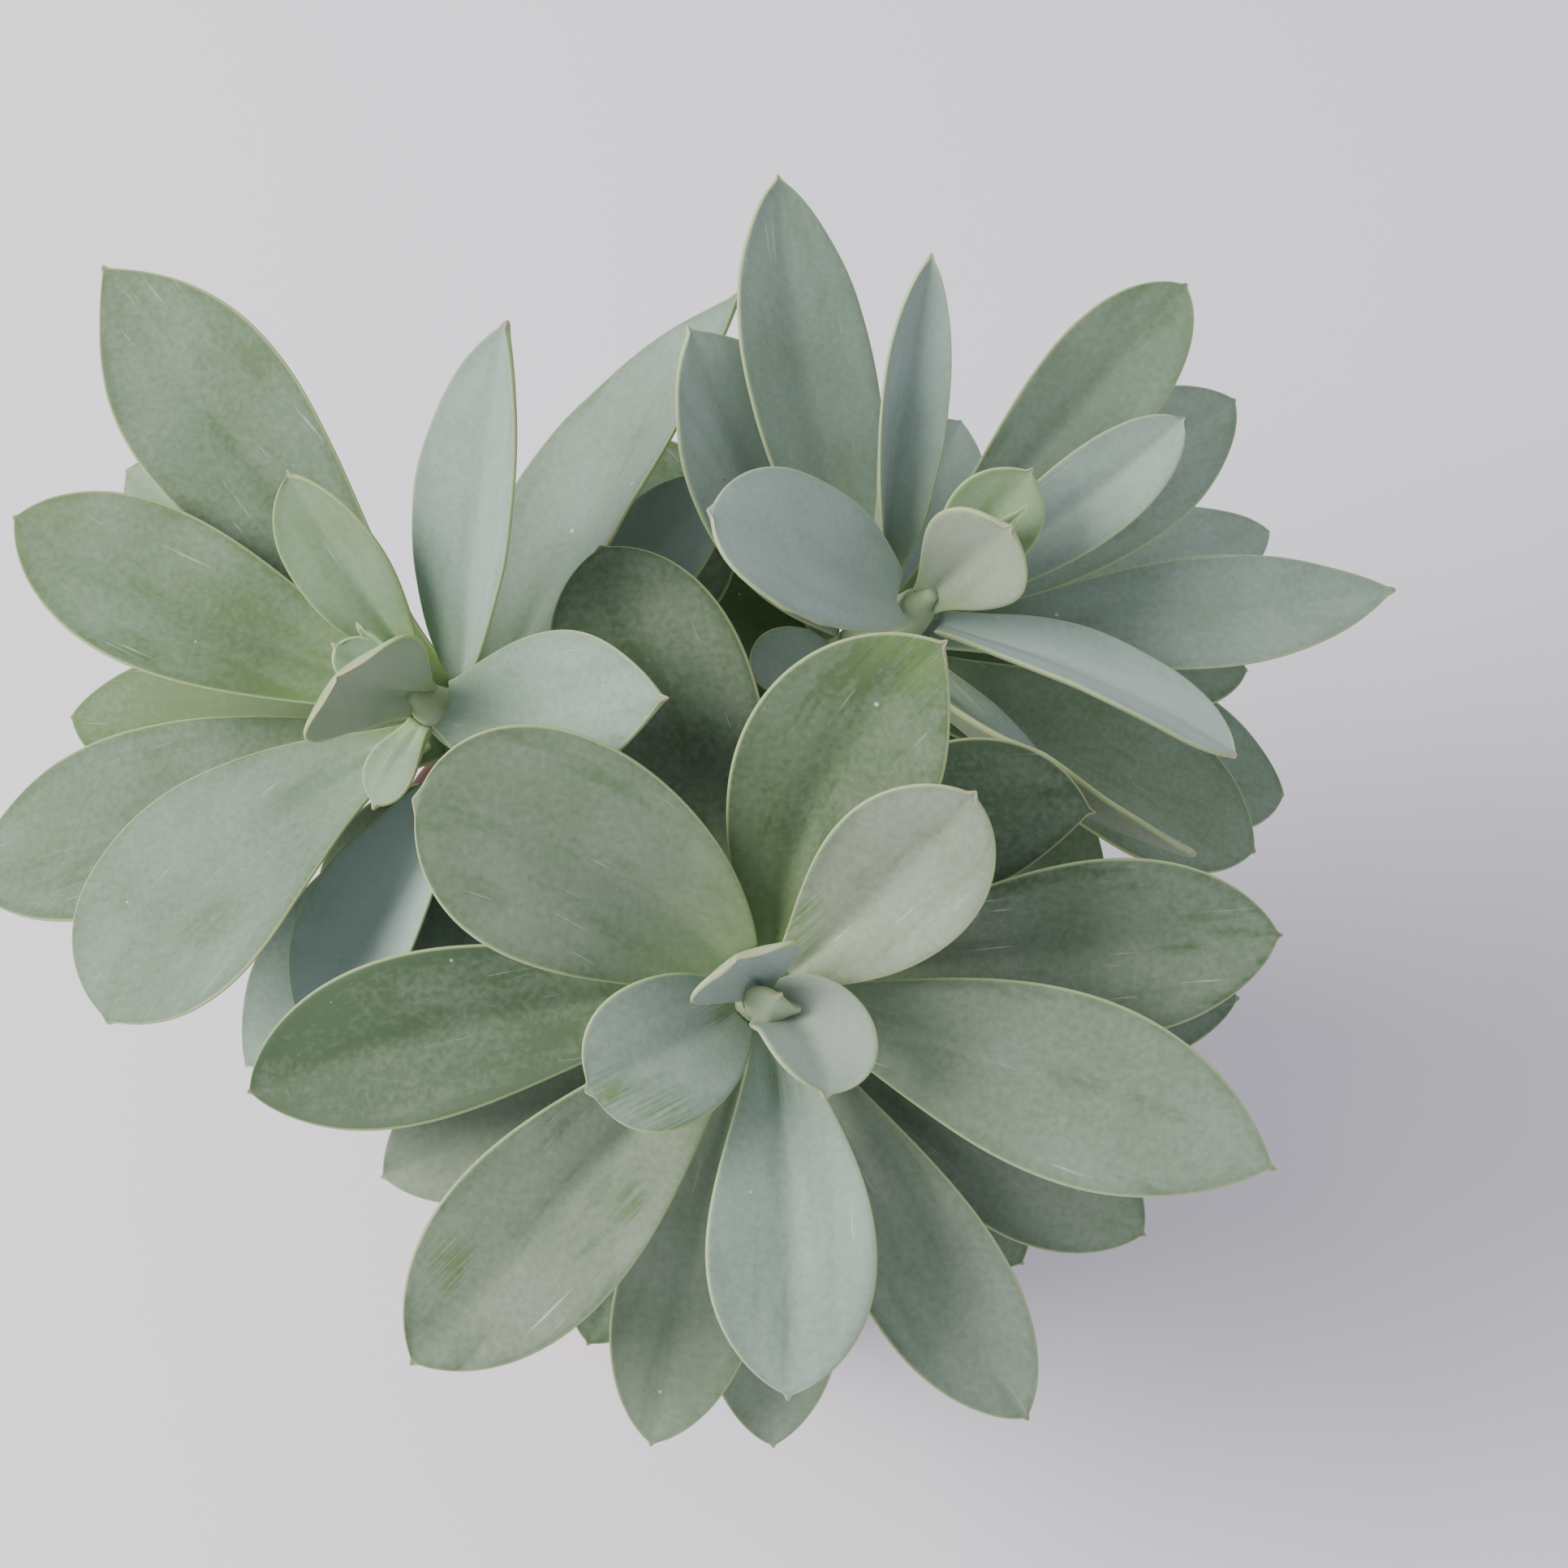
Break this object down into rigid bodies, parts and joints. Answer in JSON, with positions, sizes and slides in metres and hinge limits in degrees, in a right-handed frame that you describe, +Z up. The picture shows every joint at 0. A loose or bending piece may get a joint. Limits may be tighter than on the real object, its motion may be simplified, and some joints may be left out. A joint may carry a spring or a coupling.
{
  "type": "potted succulent",
  "caption": "Rosette succulent with broad, cupped grey-green leaves in leaning heads on bare stems, rooted in potting mix in a plain tapered clay pot.",
  "frame": {"origin": "centre of the pot's flat underside", "axes": "+Z up; +X to the right of somebody who faces the front head; the front head leans towards -Y"},
  "size_m": [0.2014, 0.1579, 0.2057],
  "materials": {
    "clay": "matte",
    "soil": "matte",
    "stem": "matte",
    "leaf": "matte"
  },
  "bodies": {
    "root": {"pot": "clay", "soil": "soil", "stem_front": "stem", "leaf_front_01": "leaf", "leaf_front_02": "leaf", "leaf_front_03": "leaf", "leaf_front_04": "leaf", "leaf_front_05": "leaf", "leaf_front_06": "leaf", "leaf_front_07": "leaf", "leaf_front_08": "leaf", "leaf_front_09": "leaf", "leaf_front_10": "leaf", "leaf_front_11": "leaf", "leaf_front_12": "leaf", "leaf_front_13": "leaf", "leaf_front_14": "leaf", "leaf_front_15": "leaf", "leaf_front_16": "leaf", "leaf_front_17": "leaf", "leaf_front_18": "leaf", "leaf_front_19": "leaf", "stem_left": "stem", "leaf_left_01": "leaf", "leaf_left_02": "leaf", "leaf_left_03": "leaf", "leaf_left_04": "leaf", "leaf_left_05": "leaf", "leaf_left_06": "leaf", "leaf_left_07": "leaf", "leaf_left_08": "leaf", "leaf_left_09": "leaf", "leaf_left_10": "leaf", "leaf_left_11": "leaf", "leaf_left_12": "leaf", "leaf_left_13": "leaf", "leaf_left_14": "leaf", "leaf_left_15": "leaf", "leaf_left_16": "leaf", "leaf_left_17": "leaf", "stem_right": "stem", "leaf_right_01": "leaf", "leaf_right_02": "leaf", "leaf_right_03": "leaf", "leaf_right_04": "leaf", "leaf_right_05": "leaf", "leaf_right_06": "leaf", "leaf_right_07": "leaf", "leaf_right_08": "leaf", "leaf_right_09": "leaf", "leaf_right_10": "leaf", "leaf_right_11": "leaf", "leaf_right_12": "leaf", "leaf_right_13": "leaf", "leaf_right_14": "leaf", "leaf_right_15": "leaf", "leaf_right_16": "leaf", "leaf_right_17": "leaf", "leaf_right_18": "leaf", "leaf_right_19": "leaf"}
  },
  "joints": []
}
